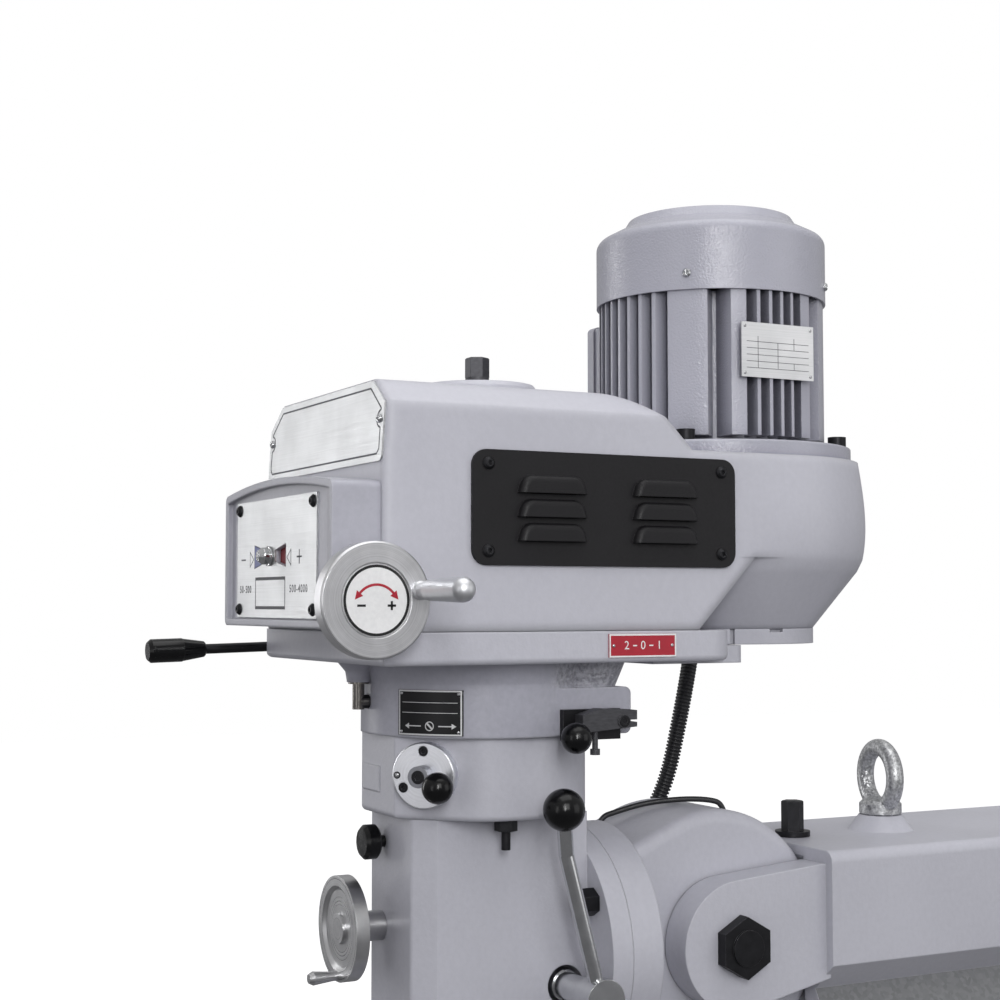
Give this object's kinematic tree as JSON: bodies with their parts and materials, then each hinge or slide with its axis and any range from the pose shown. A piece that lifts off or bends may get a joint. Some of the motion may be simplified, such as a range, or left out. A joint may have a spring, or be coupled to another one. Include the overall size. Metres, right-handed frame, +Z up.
{
  "type": "milling drilling machine head on its ram",
  "caption": "Variable-speed turret milling and drilling head with belt housing, finned motor, quill and feed controls, tilting on an adapter carried by its ram.",
  "frame": {"origin": "centre of the spindle nose, on the spindle axis, with the quill up", "axes": "+Z up the spindle, -Y to the operator, +X to the operator's right where the speed handwheel sits"},
  "size_m": [0.4208, 1.1587, 0.8885],
  "materials": {
    "grey_casting": "semi-gloss light grey enamel on cast iron",
    "grey_motor": "light grey hammer-finish enamel",
    "black_oxide": "black oxide steel, satin",
    "bright_steel": "ground steel",
    "chrome": "polished chrome plate",
    "galvanised": "galvanised steel, mottled",
    "aluminium": "turned or brushed aluminium",
    "cast_aluminium": "die-cast aluminium",
    "black_plate": "black anodised plate with light engraving",
    "red_plate": "red enamelled plate",
    "white_disc": "white printed disc",
    "dial_colours": "dial disc painted in two colours",
    "satin_black": "satin black powder coat",
    "phenolic": "polished black phenolic",
    "black_nylon": "black corrugated nylon",
    "cable_pvc": "black cable sheath",
    "belt_rubber": "black belt rubber",
    "lamination": "stacked electrical steel"
  },
  "bodies": {
    "ram": {"ram": "grey_casting", "ram_eyebolt": "galvanised", "nod_pivot_bolt": "black_oxide"},
    "nod_worm": {"nod_screw": "black_oxide"},
    "adapter": {"ram_adapter": "grey_casting", "conduit_gland": "black_nylon", "signal_cable": "cable_pvc", "motor_conduit": "black_nylon"},
    "head": {"head_casting": "grey_casting", "head_clamp_bolts": "black_oxide", "gear_housing": "grey_casting", "housing_base": "grey_casting", "belt_housing": "grey_casting", "pulley_cover": "grey_casting", "bearing_cap": "grey_casting", "front_plate": "aluminium", "speed_box": "grey_casting", "speed_plate": "aluminium", "range_plate": "red_plate", "feed_plate": "black_plate", "vent_covers": "satin_black", "black_screws": "black_oxide", "plate_screws": "bright_steel", "motor_flange": "grey_motor", "motor_frame": "grey_motor", "fan_cover": "grey_motor", "terminal_box": "grey_motor", "rating_plate": "aluminium", "stator": "lamination", "ball_bearings": "bright_steel", "drive_belt": "belt_rubber", "oil_elbow": "chrome", "feed_hub": "bright_steel", "range_bracket": "black_oxide"},
    "rotor": {"motor_rotor": "lamination", "cooling_fan": "black_nylon", "motor_disc_fixed": "cast_aluminium"},
    "motor_slide": {"motor_disc_sliding": "cast_aluminium"},
    "hub": {"pulley_hub": "bright_steel", "spindle_disc_fixed": "cast_aluminium"},
    "spindle_slide": {"spindle_disc_sliding": "cast_aluminium"},
    "quill": {"quill": "bright_steel", "spindle_bearings": "bright_steel"},
    "spindle": {"spindle": "bright_steel"},
    "drawbar": {"drawbar": "black_oxide"},
    "quill_handle": {"quill_handle": "chrome", "quill_handle_knob": "phenolic"},
    "fine_feed": {"fine_feed_wheel": "aluminium"},
    "quill_lock": {"quill_lock_lever": "chrome"},
    "reverse": {"reverse_knob": "phenolic"},
    "speed_wheel": {"speed_handwheel": "aluminium", "handwheel_disc": "white_disc", "handwheel_handle": "chrome"},
    "dial": {"speed_dial": "dial_colours"},
    "brake": {"brake_lever": "black_oxide", "brake_grip": "phenolic"},
    "range": {"range_lever": "black_oxide", "range_knob": "phenolic"},
    "feed": {"feed_lever": "bright_steel", "feed_knob": "phenolic"}
  },
  "joints": [
    {"name": "head_nod", "type": "hinge", "parent": "ram", "child": "adapter", "pos_m": [0, 0.215, 0.215], "axis": [1, 0, 0], "range_deg": [-20, 45]},
    {"name": "nod_screw_turn", "type": "hinge", "parent": "ram", "child": "nod_worm", "pos_m": [0, 0.344, 0.215], "axis": [0, 0, 1], "range_deg": [-2400, 5400]},
    {"name": "head_tilt", "type": "hinge", "parent": "adapter", "child": "head", "pos_m": [0, 0.098, 0.215], "axis": [0, 1, 0], "range_deg": [-45, 45], "deforming": ["motor_conduit"]},
    {"name": "quill_feed", "type": "slide", "parent": "head", "child": "quill", "axis": [0, 0, -1], "range_m": [0, 0.127]},
    {"name": "quill_handle_turn", "type": "hinge", "parent": "head", "child": "quill_handle", "pos_m": [0.06, 0.056, 0.19], "axis": [1, 0, 0], "range_deg": [0, 476.5]},
    {"name": "hub_spin", "type": "hinge", "parent": "head", "child": "hub", "pos_m": [0, 0, 0.5], "axis": [0, 0, 1], "continuous": true},
    {"name": "spindle_spin", "type": "hinge", "parent": "quill", "child": "spindle", "pos_m": [0, 0, 0.1], "axis": [0, 0, 1], "continuous": true},
    {"name": "rotor_spin", "type": "hinge", "parent": "head", "child": "rotor", "pos_m": [0, 0.252, 0.7], "axis": [0, 0, 1], "continuous": true},
    {"name": "drawbar_turn", "type": "hinge", "parent": "spindle", "child": "drawbar", "pos_m": [0, 0, 0.72], "axis": [0, 0, 1], "continuous": true},
    {"name": "speed_wheel_turn", "type": "hinge", "parent": "head", "child": "speed_wheel", "pos_m": [0.15, -0.167, 0.522], "axis": [1, 0, 0], "range_deg": [-720, 720], "deforming": ["drive_belt"]},
    {"name": "speed_dial_turn", "type": "hinge", "parent": "head", "child": "dial", "pos_m": [-0.02, -0.18, 0.56], "axis": [0, 1, 0], "range_deg": [-41, 41]},
    {"name": "motor_disc_slide", "type": "slide", "parent": "rotor", "child": "motor_slide", "axis": [0, 0, 1], "range_m": [-0.0081, 0.0081], "deforming": ["drive_belt"]},
    {"name": "spindle_disc_slide", "type": "slide", "parent": "hub", "child": "spindle_slide", "axis": [0, 0, 1], "range_m": [-0.0081, 0.0081], "deforming": ["drive_belt"]},
    {"name": "brake_lever_swing", "type": "hinge", "parent": "head", "child": "brake", "pos_m": [-0.146, -0.089, 0.4811], "axis": [1, 0, 0], "range_deg": [-12, 12]},
    {"name": "range_lever_swing", "type": "hinge", "parent": "head", "child": "range", "pos_m": [0.11, 0.08, 0.42], "axis": [1, 0, 0], "range_deg": [-25, 25]},
    {"name": "feed_lever_swing", "type": "hinge", "parent": "head", "child": "feed", "pos_m": [0.0567, -0.0747, 0.376], "axis": [0.7071, -0.7071, 0], "range_deg": [-20, 20]},
    {"name": "fine_feed_turn", "type": "hinge", "parent": "head", "child": "fine_feed", "pos_m": [-0.02, -0.1, 0.24], "axis": [0, 1, 0], "continuous": true},
    {"name": "quill_lock_swing", "type": "hinge", "parent": "head", "child": "quill_lock", "pos_m": [0.06, -0.04, 0.107], "axis": [1, 0, 0], "range_deg": [-30, 30]},
    {"name": "reverse_knob_slide", "type": "slide", "parent": "head", "child": "reverse", "axis": [0, 1, 0], "range_m": [-0.005, 0.005]}
  ],
  "couplings": [
    {"joint": "nod_screw_turn", "follows": "head_nod", "ratio": 120},
    {"joint": "quill_handle_turn", "follows": "quill_feed", "rad_per_m": 65.45},
    {"joint": "spindle_spin", "follows": "hub_spin", "ratio": 1},
    {"joint": "rotor_spin", "follows": "hub_spin", "ratio": 1.303},
    {"joint": "speed_dial_turn", "follows": "speed_wheel_turn", "ratio": 0.0555},
    {"joint": "motor_disc_slide", "follows": "speed_wheel_turn", "m_per_rad": 0.0006366},
    {"joint": "spindle_disc_slide", "follows": "speed_wheel_turn", "m_per_rad": 0.0006366}
  ]
}
